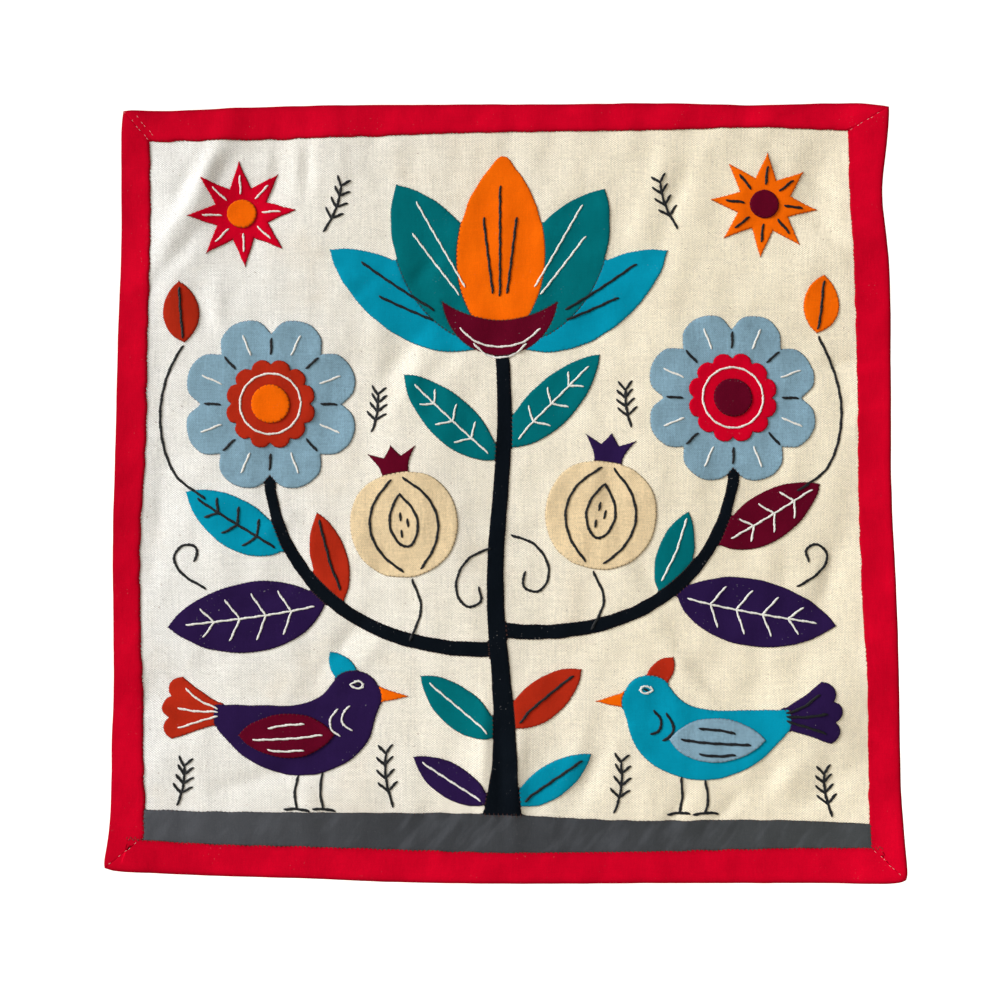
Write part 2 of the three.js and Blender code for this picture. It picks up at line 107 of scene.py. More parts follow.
# Each fold is a soft ridge, or a trough where its height is less than 0. It leans clockwise from
# upright, in degrees, and its length and width run from its middle to where it fades.
Fold = namedtuple("Fold", "x z lean length width height")
MAIN_FOLDS = [
    Fold(-203, -66, 25, 54, 20, 3.2),
    Fold(-234, -92, 25, 46, 20, -1.8),
    Fold(-164, -58, 12, 46, 22, -1.6),
    Fold(-112, -36, 4, 36, 20, 1.5),
    Fold(-222, -262, 8, 62, 24, -1.8),
    Fold(-214, -382, 98, 38, 19, -2.8),
    Fold(-204, -420, 100, 50, 20, 2.4),
    Fold(-80, -168, 40, 64, 26, -2.0),
    Fold(-46, -262, -12, 120, 36, 2.6),
    Fold(-2, -424, 2, 52, 20, 2.2),
    Fold(206, -52, 12, 44, 20, -2.4),
    Fold(200, -104, 55, 48, 21, 2.2),
    Fold(210, -172, 86, 42, 20, -2.0),
    Fold(96, -228, 8, 150, 42, 2.4),
    Fold(214, -304, 20, 50, 22, -1.6),
    Fold(184, -404, 47, 68, 21, 3.2),
    Fold(150, -442, 50, 46, 20, -2.0),
    Fold(-118, -446, 80, 90, 28, 2.0),
    Fold(-254, -494, 45, 36, 36, 6.0),
    Fold(256, -500, -45, 40, 40, 7.0),
    Fold(-252, -2, -45, 26, 26, 3.0),
    Fold(252, 0, 45, 28, 28, 3.5),
]
CREASES = [
    Fold(-193, -46, 24, 26, 5.0, 1.5),
    Fold(-212, -80, 39, 24, 7.0, 1.6),
    Fold(-205, -48, 25, 20, 4.5, -1.2),
    Fold(-183, -45, 30, 15, 5.0, -1.1),
    Fold(-210, -99, 40, 26, 5.0, -1.5),
    Fold(-128, -44, 0, 18, 3.4, -1.1),
    Fold(-135, -41, -2, 16, 3.4, 0.6),
    Fold(-121, -45, 3, 18, 3.6, 0.6),
    Fold(-154, -37, 2, 15, 3.2, 0.7),
    Fold(-149, -50, 5, 14, 3.4, -0.6),
    Fold(-100, -38, -6, 16, 3.6, -0.6),
    Fold(-194, -136, -20, 18, 6.0, -1.3),
    Fold(-185, -132, 4, 20, 4.4, 0.8),
    Fold(-213, -173, 98, 22, 4.0, -0.8),
    Fold(-222, -270, 4, 34, 5.0, -1.0),
    Fold(-219, -384, 113, 17, 3.0, -1.5),
    Fold(-216, -390, 112, 19, 3.6, 1.4),
    Fold(-51, -108, 45, 16, 5.0, -1.1),
    Fold(-91, -121, 50, 18, 4.4, -0.8),
    Fold(-68, -167, 38, 22, 7.0, -1.8),
    Fold(-56, -178, 36, 24, 4.6, 0.8),
    Fold(-141, -257, -50, 28, 4.0, -0.8),
    Fold(-150, -277, 55, 26, 4.4, 0.8),
    Fold(-131, -296, -35, 26, 4.4, -0.7),
    Fold(-153, -321, 60, 30, 4.4, -0.7),
    Fold(-104, -352, 40, 34, 5.0, -1.2),
    Fold(-92, -362, 42, 30, 4.4, 0.7),
    Fold(-150, -432, 74, 36, 5.0, -1.3),
    Fold(-14, -424, 2, 34, 4.0, 1.3),
    Fold(-3, -428, -3, 36, 3.8, -1.3),
    Fold(9, -424, 4, 32, 4.2, 1.1),
    Fold(56, -428, 28, 24, 5.0, -1.1),
    Fold(44, -420, 24, 26, 4.6, 0.8),
    Fold(175, -35, -40, 20, 5.0, -1.3),
    Fold(203, -51, -55, 18, 5.0, -1.4),
    Fold(209, -85, -43, 22, 4.4, -1.5),
    Fold(201, -78, -42, 24, 5.0, 0.8),
    Fold(168, -113, -60, 22, 5.0, -0.8),
    Fold(172, -149, -58, 24, 5.0, -1.3),
    Fold(213, -170, 88, 24, 3.6, -1.3),
    Fold(221, -193, 10, 16, 4.6, -0.7),
    Fold(207, -307, 20, 18, 5.0, -1.1),
    Fold(214, -350, -60, 12, 3.6, -0.8),
    Fold(224, -404, -65, 14, 3.6, -1.1),
    Fold(181, -430, 50, 42, 8.0, 1.1),
    Fold(163, -440, 35, 26, 7.0, -1.2),
    Fold(203, -440, 55, 24, 6.0, -1.0),
    Fold(140, -453, 45, 20, 4.4, -1.3),
    Fold(110, -451, 30, 16, 4.0, -1.1),
    Fold(118, -372, -38, 40, 5.5, 1.0),
    Fold(66, -250, 14, 44, 6.0, -1.0),
    Fold(96, -316, -30, 40, 5.4, -0.8),
    Fold(40, -60, 66, 30, 5.5, 0.8),
    Fold(112, -58, 18, 26, 5.0, -1.0),
    Fold(98, -52, 16, 22, 4.6, 0.7),
]


def relief(x, z):
    """How far the cloth stands out at places, from its folds and creases."""
    total = np.zeros_like(x)
    for fold in MAIN_FOLDS + CREASES:
        lean = math.radians(fold.lean)
        dx, dz = x - fold.x, z - fold.z
        along = (dx * math.sin(lean) + dz * math.cos(lean)) / fold.length
        across = (dx * math.cos(lean) - dz * math.sin(lean)) / fold.width
        total += fold.height * np.exp(-along * along - across * across)
    return total


def ripple(x, z, size, seed, waves=9):
    """An uneven surface of about -1 to 1, from a few waves of about one size in all directions."""
    chance = np.random.default_rng(seed)
    total = np.zeros_like(x)
    for _ in range(waves):
        way, start = chance.uniform(0, 2 * math.pi, 2)
        turns = 2 * math.pi / (size * chance.uniform(0.7, 1.6))
        total += np.sin((x * math.cos(way) + z * math.sin(way)) * turns + start)
    return total / waves**0.5 / 1.4


Ripple = namedtuple("Ripple", "height size seed")
RIPPLES = [Ripple(0.34, 26, 1), Ripple(0.1, 12, 2)]


def hang(mesh):
    """Lays a flat mesh, whose y is how far it stands out, on the folds and ripples of the cloth."""
    co = np.empty(len(mesh.vertices) * 3)
    mesh.vertices.foreach_get("co", co)
    co = co.reshape(-1, 3) / MM
    x, z = co[:, 0], co[:, 2]
    stands_out = relief(x, z)
    for soft in RIPPLES:
        stands_out += soft.height * ripple(x, z, soft.size, soft.seed)
    co[:, 1] -= stands_out
    mesh.vertices.foreach_set("co", (co * MM).ravel())
    mesh.update()


def curved(chain, step):
    """Points about a step apart on a smooth line through a chain of points."""
    ends = [2 * chain[0] - chain[1], *chain, 2 * chain[-1] - chain[-2]]
    made = []
    for before, start, end, after in zip(ends, ends[1:], ends[2:], ends[3:]):
        length = (end - start).length
        leave = (end - before).normalized() * length
        arrive = (after - start).normalized() * length
        count = max(1, round(length / step))
        for i in range(count):
            t = i / count
            made.append(
                start * (2 * t**3 - 3 * t**2 + 1)
                + leave * (t**3 - 2 * t**2 + t)
                + end * (3 * t**2 - 2 * t**3)
                + arrive * (t**3 - t**2)
            )
    return [*made, chain[-1]]


def length_of(chain):
    """The length of a chain of points."""
    return sum((b - a).length for a, b in zip(chain, chain[1:]))


def spaced(chain, shares):
    """The points at shares of a chain's length."""
    flat = np.array([(p.x, p.y) for p in chain])
    run = np.concatenate([[0], np.cumsum(np.linalg.norm(np.diff(flat, axis=0), axis=1))])
    reach = np.clip(np.asarray(shares), 0, 1) * run[-1]
    return [Vector(p) for p in zip(np.interp(reach, run, flat[:, 0]), np.interp(reach, run, flat[:, 1]))]


def at(chain, share):
    """The point at one share of a chain's length."""
    return spaced(chain, [share])[0]


BLUNT_WITHIN = 2.6


def side(start, rows, end, upright, tips=(0.6, 0.6)):
    """The outer and the inner line of one side, from corner to corner. The outer tips are blunt."""
    lines = []
    for which in ("outer", "inner"):
        middle = [
            Vector((getattr(row, which), row.along) if upright else (row.along, getattr(row, which)))
            for row in rows
        ]
        line = curved([Vector(getattr(start, which)), *middle, Vector(getattr(end, which))], 3)
        if which == "outer":
            for corner, inner, tip in ((0, start.inner, tips[0]), (-1, end.inner, tips[1])):
                diagonal = (Vector(inner) - line[corner]).normalized()
                for point in line:
                    away = (point - line[corner]).length / BLUNT_WITHIN
                    point += diagonal * tip * math.exp(-(away**2))
        lines.append(line)
    return lines


sides = {
    "top": side(TOP_LEFT, TOP_EDGE, TOP_RIGHT, False),
    "right": side(TOP_RIGHT, RIGHT_EDGE, BOTTOM_RIGHT, True, (0.6, 1.6)),
    "bottom": side(BOTTOM_LEFT, BOTTOM_EDGE, BOTTOM_RIGHT, False, (1.2, 1.6)),
    "left": side(TOP_LEFT, LEFT_EDGE, BOTTOM_LEFT, True, (0.6, 1.2)),
}

ground_bm = bmesh.new()
ground_cells = round(GROUND_SIDE / GROUND_STEP)
bmesh.ops.create_grid(ground_bm, x_segments=ground_cells, y_segments=ground_cells, size=0.5)
ground_hold = 1 - 2 * GROUND_MARGIN / GROUND_SIDE
level_lines, upright_lines = {}, {}
for vert in ground_bm.verts:
    u, v = 0.5 + vert.co.x * ground_hold, 0.5 + vert.co.y * ground_hold
    if u not in level_lines:
        level_lines[u] = at(sides["bottom"][0], u), at(sides["top"][0], u)
    if v not in upright_lines:
        upright_lines[v] = at(sides["left"][0], 1 - v), at(sides["right"][0], 1 - v)
    low, high = level_lines[u]
    left, right = upright_lines[v]
    vert.co = (left.lerp(right, u).x * MM, -GROUND_FRONT * MM, low.lerp(high, v).y * MM)
ground_bm.normal_update()
if next(iter(ground_bm.faces)).normal.y > 0:
    bmesh.ops.reverse_faces(ground_bm, faces=ground_bm.faces)
bmesh.ops.solidify(ground_bm, geom=ground_bm.faces, thickness=(GROUND_FRONT - GROUND_BACK) * MM)
ground_mesh = bpy.data.meshes.new("canvas")
ground_bm.to_mesh(ground_mesh)
ground_bm.free()
ground_mesh.shade_smooth()
hang(ground_mesh)


class Wire:
    """A socket among a material's nodes, so that shader maths reads as an expression."""

    def __init__(self, tree, socket=None):
        self.tree = tree
        self.socket = socket

    def node(self, kind, settings=None, sockets=None, output=0):
        """Adds a node with its settings and its sockets' values or links. Gives one of its outputs."""
        made = self.tree.nodes.new("ShaderNode" + kind)
        for name, value in (settings or {}).items():
            setattr(made, name, value)
        for name, value in (sockets or {}).items():
            if isinstance(value, Wire):
                self.tree.links.new(value.socket, made.inputs[name])
            else:
                made.inputs[name].default_value = value
        return Wire(self.tree, made.outputs[output] if made.outputs else None)

    def beside(self, output):
        """Another output of the same node."""
        return Wire(self.tree, self.socket.node.outputs[output])

    def maths(self, operation, first, second=0.0):
        return self.node("Math", {"operation": operation}, {0: first, 1: second})

    def __add__(self, other):
        return self.maths("ADD", self, other)

    def __radd__(self, other):
        return self.maths("ADD", other, self)

    def __sub__(self, other):
        return self.maths("SUBTRACT", self, other)

    def __rsub__(self, other):
        return self.maths("SUBTRACT", other, self)

    def __mul__(self, other):
        return self.maths("MULTIPLY", self, other)

    def __rmul__(self, other):
        return self.maths("MULTIPLY", other, self)

    def __abs__(self):
        return self.maths("ABSOLUTE", self)

    def sine(self):
        return self.maths("SINE", self)

    def over(self, low, high):
        """0 below the low value and 1 above the high one, with a smooth rise between them."""
        sockets = {"Value": self, "From Min": low, "From Max": high}
        return self.node("MapRange", {"interpolation_type": "SMOOTHSTEP"}, sockets)

    def mixed(self, share, other):
        """This colour turned to another by a share."""
        return self.node("Mix", {"data_type": "RGBA"}, {0: share, 6: self, 7: other}, 2)

    def shaded(self, colour, shade):
        """A colour made darker or lighter by a shade."""
        sockets = {0: 1.0, 6: colour, 7: shade}
        return self.node("Mix", {"data_type": "RGBA", "blend_type": "MULTIPLY"}, sockets, 2)


def display(red, green, blue):
    """A colour read off a screen as 0 to 255, as the linear colour that a shader takes."""
    shares = [value / 255 for value in (red, green, blue)]
    linear = [s / 12.92 if s < 0.04045 else ((s + 0.055) / 1.055) ** 2.4 for s in shares]
    return (*linear, 1.0)


# A weave has threads so far apart across and up, in millimetres, and each stands so high. Then come
# how dark its gaps are painted, as painted shade between the threads, how much one thread's tone differs
# from the next and how crumpled it is.
Weave = namedtuple("Weave", "across up height gaps tone crumple")
CANVAS_WEAVE = Weave(across=0.93, up=0.70, height=0.17, gaps=0.5, tone=0.19, crumple=0.8)


def noise(place, size, detail=2.0, rough=0.5, stretch=(1, 1, 1)):
    """Noise of 0 to 1 whose lumps are about a size in millimetres, stretched along an axis or two."""
    scale = tuple(1 / (size * MM * s) for s in stretch)
    moved = place.node("Mapping", {"vector_type": "POINT"}, {"Vector": place, "Scale": scale})
    sockets = {"Vector": moved, "Scale": 1.0, "Detail": detail, "Roughness": rough}
    return moved.node("TexNoise", {}, sockets)


def woven(name, weave, colour_at):
    """A cloth material. colour_at gives its colour and shade from the place on it and its threads."""
    material = bpy.data.materials.new(name)
    material.use_nodes = True
    material.node_tree.nodes.clear()
    start = Wire(material.node_tree)
    place = start.node("TexCoord", output=3)
    x = place.node("SeparateXYZ", {}, {0: place})
    drift = noise(place, 7, 1.0) * 0.5
    warp = ((x * (1 / (weave.across * MM)) + drift) * math.pi).sine()
    weft = ((x.beside(2) * (1 / (weave.up * MM)) + drift) * math.pi).sine()
    gaps = (1 - abs(warp)) * (1 - abs(weft))
    warp_tone = noise(place, weave.across * 1.3, 1.0, stretch=(1, 1, 12))
    weft_tone = noise(place, weave.up * 1.3, 1.0, stretch=(14, 1, 1))
    slub = (warp_tone - 0.5) + (weft_tone - 0.5)
    grain = noise(place, weave.across * 1.3, 1.0) - 0.5
    tone = 1 + slub * weave.tone + grain * (weave.tone * 1.7)
    # Painted shade in the gaps between threads, and a painted highlight on the crossings that stand up.
    tone = tone - gaps * weave.gaps + warp * weft * (weave.gaps * 0.55)
    colour, shade = colour_at(place, tone)
    lit = place.shaded(colour, shade)
    crumple = noise(place, 13, 3.0, 0.55, stretch=(1, 1, 1.7))
    height = (warp * weft * 0.35 - gaps * 0.5 + slub * 0.5) * (weave.height * MM)
    height = height + crumple * (weave.crumple * MM)
    surface = place.node(
        "BsdfPrincipled",
        {},
        {
            "Base Color": lit,
            "Roughness": 0.9,
            "Normal": place.node("Bump", {}, {"Height": height, "Strength": 1.0, "Distance": 1.0}),
            "Specular IOR Level": 0.03,
        },
    )
    place.node("OutputMaterial", {}, {"Surface": surface})
    return material


def canvas_colour(place, tone):
    """Unbleached cream with painted light: cooler at the left, where the cool key light falls, and
    warmer at the right. A little soiled, with dark flecks.
    """
    x = place.node("SeparateXYZ", {}, {0: place})
    # Painted light: the cream goes from cool at the left to warm at the right, the tint that the cool
    # key from the left and the warm light round about would give it.
    painted_light_tint = (x + noise(place, 120) * 0.12).over(-0.22, 0.22)
    ends = {0: painted_light_tint, 6: display(244, 243, 241), 7: display(248, 237, 213)}
    cream = place.node("Mix", {"data_type": "RGBA"}, ends, 2)
    soiled = cream.mixed(noise(place, 70, 4.0, 0.6).over(0.5, 0.75) * 0.3, display(226, 210, 186))
    flecked = soiled.mixed(noise(place, 1.5, 2.0, 0.6).over(0.69, 0.73) * 0.55, display(128, 92, 60))
    return flecked, tone * (0.97 + 0.06 * noise(place, 14))


def put_in_scene(name, data):
    """Makes an object of a mesh, a camera or a light."""
    made = bpy.data.objects.new(name, data)
    bpy.context.scene.collection.objects.link(made)
    return made


ground = put_in_scene("canvas_ground", ground_mesh)
ground_mesh.materials.append(woven("unbleached canvas", CANVAS_WEAVE, canvas_colour))
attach(ground, "root")
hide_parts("ground")

# The plant: a trunk with two branches, and leaves tucked in behind the wood. Each piece is cut from
# plain-dyed cotton with a margin, which is turned under and sewn down with tiny hem stitches. A piece
# is plump along its edge and drawn in a little at each stitch.
COTTON_WEAVE = Weave(across=0.46, up=0.42, height=0.06, gaps=0.2, tone=0.12, crumple=0.5)
LOOSE_WEAVE = Weave(across=0.66, up=0.6, height=0.1, gaps=0.32, tone=0.3, crumple=1.1)
COTTONS = {
    "cotton_red": (205, 0, 36),
    "cotton_grey": (64, 66, 70),
    "cotton_black": (10, 16, 23),
    "cotton_purple": (40, 22, 68),
    "cotton_maroon": (94, 5, 32),
    "cotton_rust": (176, 42, 21),
    "cotton_orange": (246, 104, 4),
    "cotton_teal": (0, 107, 115),
    "cotton_turquoise": (2, 143, 173),
    "cotton_light_blue": (130, 163, 182),
    "cotton_beige": (230, 206, 166),
}
LINTY = ("cotton_black", "cotton_purple", "cotton_maroon")
LOOSE = ("cotton_light_blue", "cotton_beige")


def cotton_colour(slot):
    """How one cotton is coloured: its dye, a little faded and linty, with painted shade along its turned
    edges and where its hem stitches pucker it.
    """
    dye = display(*COTTONS[slot])

    def colour_at(place, tone):
        faded = tuple(min(1.0, c * 1.25 + 0.001) for c in dye[:3]) + (1.0,)
        worn = noise(place, 30, 4.0, 0.6).over(0.4, 0.8) * 0.55
        cloth = place.node("Mix", {"data_type": "RGBA"}, {0: worn, 6: dye, 7: faded}, 2)
        speck = noise(place, 1.3, 1.0).over(0.72, 0.76) * noise(place, 22, 2.0).over(0.5, 0.64)
        cloth = cloth.mixed(speck * (0.45 if slot in LINTY else 0.14), display(176, 172, 172))
        if slot == "cotton_grey":
            x = place.node("SeparateXYZ", {}, {0: place})
            cloth = cloth.mixed((0 - x).over(0.04, 0.24) * 0.6, display(88, 90, 96))
            cloth = cloth.mixed(x.over(0.02, 0.2) * 0.5, display(70, 73, 73))
            # Painted highlight: soft lighter slanting streaks of sheen on the grey cotton.
            turned = {"Vector": place, "Rotation": (0, 0.9, 0)}
            slanted = place.node("Mapping", {"vector_type": "POINT"}, turned)
            painted_sheen = noise(slanted, 7, 2.0, stretch=(4, 1, 1)).over(0.45, 0.75)
            cloth = cloth.mixed(painted_sheen * 0.3, display(98, 101, 108))
        # Painted shade: the colour is darkened near each piece's turned edge and at stitch puckers, and
        # on the edging at its hem, its fold and its mitres.
        clear_of_painted_shade = place.node("Attribute", {"attribute_name": "clear_of_painted_shade"}, output=2)
        return cloth, tone * (0.55 + 0.45 * clear_of_painted_shade) * (0.93 + 0.14 * noise(place, 16))

    return colour_at


cottons = {}
for slot in COTTONS:
    weave = LOOSE_WEAVE if slot in LOOSE else COTTON_WEAVE
    cottons[slot] = woven(slot, weave, cotton_colour(slot))
slots_of = {row["node"]: row["material_slot"] for row in frame["record"]["subparts"]}

# The levels that pieces lie at, how far each rises from there, and how its edge is turned under, drawn
# in at each hem stitch and closed on a neighbour that it meets, in millimetres.
FIRST, SECOND, THIRD = 1.42, 2.34, 3.2
RISE = 0.9
PIECE_STEP = 2.4
OUTLINE_STEP = 0.75
CORNER_ANGLE = 38
RINGS = (0.12, 0.4, 1.0)
TURNING = 5.0
HEM_PITCH = 2.8
MEETING = 0.9
CLOSING = 0.45
SET_IN = 0.12
DRAWN_IN = 0.2
PULLED_DOWN = 0.3
STITCH_REACH = 1.3
ROUNDING = 0.8
MOST_ROOM = 1.5
hems = []
cloths = [ground]


def outline_of(node):
    """The outline of a CAD piece as seen from the front, anticlockwise."""
    bm = bmesh.new()
    bm.from_mesh(frame["nodes"][node].data)
    bmesh.ops.remove_doubles(bm, verts=bm.verts, dist=1e-6)
    bm.normal_update()
    away = [face for face in bm.faces if face.normal.y > -0.5]
    bmesh.ops.delete(bm, geom=away, context="FACES")
    islands, left = [], set(bm.faces)
    while left:
        reached = [left.pop()]
        island = list(reached)
        while reached:
            for edge in reached.pop().edges:
                for face in left.intersection(edge.link_faces):
                    left.remove(face)
                    reached.append(face)
                    island.append(face)
        islands.append(island)
    islands.sort(key=lambda island: -sum(face.calc_area() for face in island))
    smaller = [face for island in islands[1:] for face in island]
    bmesh.ops.delete(bm, geom=smaller, context="FACES")
    edge = next(e for e in bm.edges if e.is_boundary)
    first = vert = edge.verts[0]
    points = []
    while vert != first or not points:
        points.append(Vector((vert.co.x, vert.co.z)) / MM)
        edge = next(e for e in vert.link_edges if e.is_boundary and e != edge)
        vert = edge.other_vert(vert)
    bm.free()
    if sum(a.cross(b) for a, b in zip(points, points[1:] + points[:1])) < 0:
        points.reverse()
    i = 0
    while i < len(points):
        before, after = points[i - 1], points[(i + 1) % len(points)]
        if abs((points[i] - before).cross((after - before).normalized())) < 0.03:
            points.pop(i)
        else:
            i += 1
    return points


def chains_of(points):
    """A closed outline cut into chains at its corners."""
    corners = []
    for i, point in enumerate(points):
        leaving = points[(i + 1) % len(points)] - point
        if abs(math.degrees((point - points[i - 1]).angle_signed(leaving))) > CORNER_ANGLE:
            corners.append(i)
    if not corners:
        return [points + points[:1]]
    turned = points[corners[0] :] + points[: corners[0] + 1]
    places = [i - corners[0] for i in corners] + [len(points)]
    return [turned[a : b + 1] for a, b in zip(places, places[1:])]


def smooth_outline(points):
    """A closed outline with smooth curves between its corners."""
    made = []
    for chain in chains_of(points):
        if (chain[0] - chain[-1]).length > 1e-6:
            made += curved(chain, OUTLINE_STEP)[:-1]
            continue
        round_about = curved([chain[-2], *chain, chain[1]], OUTLINE_STEP)
        near = [i for i, point in enumerate(round_about) if (point - chain[0]).length < 1e-6]
        made += round_about[near[0] : near[-1]]
    return made


def pinch(distance, pitch=HEM_PITCH):
    """1 where a hem stitch draws the edge in, 0 between stitches."""
    return max(0.0, math.cos(2 * math.pi * distance / pitch)) ** 3


def depths_in(places, outline):
    """How far places lie from an outline."""
    starts = np.array([(p.x, p.y) for p in outline])
    steps = np.roll(starts, -1, axis=0) - starts
    found = np.empty(len(places))
    for i in range(0, len(places), 400):
        here = places[i : i + 400, None] - starts[None]
        share = np.clip((here * steps).sum(2) / (steps**2).sum(1), 0, 1)
        found[i : i + 400] = np.linalg.norm(here - share[..., None] * steps, axis=2).min(1)
    return found


cut_pieces = [node for node in slots_of if not node.startswith("edging") and node != "ground"]
cut_outlines = {node: smooth_outline(outline_of(node)) for node in cut_pieces}


def tree_of(points):
    """A tree that finds the nearest of some points."""
    tree = KDTree(len(points))
    for i, point in enumerate(points):
        tree.insert((point.x, 0, point.y), i)
    tree.balance()
    return tree


def finish_piece(bm, name, node):
    """Lays a made piece of cotton on the folds, as an object that stands for its CAD solid."""
    mesh = bpy.data.meshes.new(node)
    bm.to_mesh(mesh)
    bm.free()
    mesh.shade_smooth()
    hang(mesh)
    mesh.materials.append(cottons[slots_of[node]])
    piece = put_in_scene(name, mesh)
    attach(piece, "root")
    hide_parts(node)
    cloths.append(piece)


def sew_on(node, level=FIRST):
    """Makes one sewn piece. Where it meets a piece of its level, the two edges close on each other."""
    smooth = cut_outlines[node]
    count = len(smooth)
    flat = np.array([(p.x, p.y) for p in smooth])
    ways = np.roll(flat, -1, axis=0) - np.roll(flat, 1, axis=0)
    ways /= np.linalg.norm(ways, axis=1)[:, None]
    inward = np.stack([-ways[:, 1], ways[:, 0]], axis=1)
    room = np.full(count, MOST_ROOM)
    for _ in range(24):
        short = depths_in(flat + inward * room[:, None], smooth) < 0.985 * room
        room[short] *= 0.82
    room[room < 0.03] = 0
    others = tree_of([p for other, line in cut_outlines.items() if other != node for p in line])
    distances = np.concatenate([[0], np.cumsum(np.linalg.norm(np.diff(flat, axis=0), axis=1))])
    drawn = np.array([pinch(d) for d in distances])
    seed = sum(map(ord, node))
    unsure = 0.25 * ripple(*flat.T, 17, seed) + 0.08 * ripple(*flat.T, 5, seed + 1)
    meets = np.array([others.find((x, 0, z))[2] < MEETING for x, z in flat]) & (level == FIRST)
    shift = np.where(meets, -CLOSING, SET_IN - unsure + DRAWN_IN * drawn)
    shift = np.minimum(shift, 0.3 * room)
    full = np.clip((0.98 * room - shift) / RINGS[-1], 0, 1)
    outline = [Vector(p) for p in flat + inward * shift[:, None]]

    bm = bmesh.new()
    top = bm.faces.new([bm.verts.new((p.x * MM, 0, p.y * MM)) for p in outline])
    for depth in RINGS:
        bmesh.ops.inset_region(bm, faces=[top], thickness=1e-6, use_boundary=True)
        ring = flat + inward * (shift + full * depth)[:, None]
        for vert, (x, z) in zip(top.verts, ring):
            vert.co = (x * MM, 0, z * MM)
    bmesh.ops.remove_doubles(bm, verts=bm.verts, dist=1e-5)
    for axis, normal in ((0, (1, 0, 0)), (1, (0, 0, 1))):
        low, high = flat[:, axis].min(), flat[:, axis].max()
        for i in range(1, math.ceil((high - low) / PIECE_STEP)):
            place = Vector(normal) * (low + i * PIECE_STEP) * MM
            geometry = [*bm.verts, *bm.edges, *bm.faces]
            bmesh.ops.bisect_plane(bm, geom=geometry, plane_co=place, plane_no=normal, dist=1e-6)
    bm.normal_update()
    clear_of_painted_shade = bm.verts.layers.float.new("clear_of_painted_shade")
    tops = list(bm.verts)
    made = bmesh.ops.duplicate(bm, geom=[*bm.verts, *bm.edges, *bm.faces])
    under_faces = [item for item in made["geom"] if isinstance(item, bmesh.types.BMFace)]
    bmesh.ops.reverse_faces(bm, faces=under_faces)
    places = np.array([(vert.co.x / MM, vert.co.z / MM) for vert in tops])
    depths = depths_in(places, outline)
    edge_tree = tree_of(outline)
    for vert, (x, z), depth in zip(tops, places, depths):
        tight = drawn[edge_tree.find((x, 0, z))[1]] * math.exp(-((depth / STITCH_REACH) ** 2))
        turned = 1 / (1 + math.exp((depth - TURNING) / 0.6))
        rounded = math.sqrt(1 - (1 - min(1, depth / ROUNDING)) ** 2)
        vert.co.y = -RISE * rounded * (0.82 + 0.18 * turned) * (1 - PULLED_DOWN * tight) * MM
        # Painted shade, darker towards the turned edge and where a stitch draws the edge in.
        vert[clear_of_painted_shade] = min(1, (depth / 0.5) ** 0.7) * (1 - PULLED_DOWN * tight)
    bmesh.ops.remove_doubles(bm, verts=bm.verts, dist=1e-7)
    bmesh.ops.translate(bm, verts=bm.verts, vec=(0, -level * MM, 0))
    finish_piece(bm, "sewn_" + node, node)
    hems.append(outline)


def rib(node, start, end):
    """The middle line of a leaf from a share of its length to another, from its foot to its tip."""
    points = cut_outlines[node]
    middle = sum(points, Vector((0, 0))) / len(points)
    tip = max(points, key=lambda p: (p - middle).length)
    foot = max(points, key=lambda p: (p - tip).length)
    a, b = sorted((points.index(foot), points.index(tip)))
    one, other = points[a : b + 1], (points[b:] + points[: a + 1])[::-1]
    if points[a] is tip:
        one, other = one[::-1], other[::-1]
    shares = [start + (end - start) * i / 8 for i in range(9)]
    return [(at(one, s) + at(other, s)) / 2 for s in shares], one, other


BLACK, WHITE = "thread_black", "thread_white"
Line = namedtuple("Line", "thread points")
lines = []


def vein(node, thread, start=0.1, end=0.86, pairs=0):
    """A line of stem stitch along a leaf, and pairs of side veins from it."""
    middle, one, other = rib(node, start, end)
    lines.append(Line(thread, middle))
    for i in range(pairs):
        share = start + (end - start) * (i + 0.9) / (pairs + 1)
        root = at(middle, (i + 0.9) / (pairs + 1))
        for edge in (one, other):
            lines.append(Line(thread, [root, root.lerp(at(edge, share + 0.11), 0.66)]))


def drawn_lines(thread, *chains):
    """Lines of stem stitch through points that are drawn."""
    for chain in chains:
        lines.append(Line(thread, [Vector(point) for point in chain]))


Vein = namedtuple("Vein", "leaf thread pairs")
LEAF_VEINS = [
    Vein("leaf_upper_left", WHITE, 3),
    Vein("leaf_upper_right", WHITE, 3),
    Vein("leaf_outer_left", WHITE, 4),
    Vein("leaf_outer_right", WHITE, 4),
    Vein("leaf_climbing_left", BLACK, 3),
    Vein("leaf_climbing_right", WHITE, 3),
    Vein("leaf_inner_left", BLACK, 0),
    Vein("leaf_inner_right", WHITE, 0),
    Vein("leaf_lower_left", WHITE, 0),
    Vein("leaf_lower_right", BLACK, 0),
    Vein("leaf_foot_left", WHITE, 0),
    Vein("leaf_foot_right", BLACK, 0),
    Vein("bud_left", BLACK, 0),
    Vein("bud_right", BLACK, 0),
]
for node in ("trunk", "branch_left", "branch_right"):
    sew_on(node)
for leaf in LEAF_VEINS:
    sew_on(leaf.leaf)
    vein(leaf.leaf, leaf.thread, pairs=leaf.pairs)
drawn_lines(
    BLACK,
    [(-191, -257), (-212, -240), (-221, -208), (-217, -178), (-207, -158)],
    [(187, -252), (207, -236), (216, -204), (212, -174), (202, -152)],
    [(-59, -308), (-53, -326), (-60, -347)],
    [(56, -303), (63, -321), (55, -340)],
    [(-9, -288), (-24, -296), (-31, -312), (-25, -325), (-15, -322), (-17, -313)],
    [(4, -280), (19, -286), (28, -301), (23, -315), (12, -313), (13, -303)],
    [(-190, -314), (-205, -305), (-211, -294), (-204, -286), (-196, -289), (-198, -297)],
    [(186, -313), (200, -304), (206, -294), (200, -286), (192, -289), (194, -297)],
)

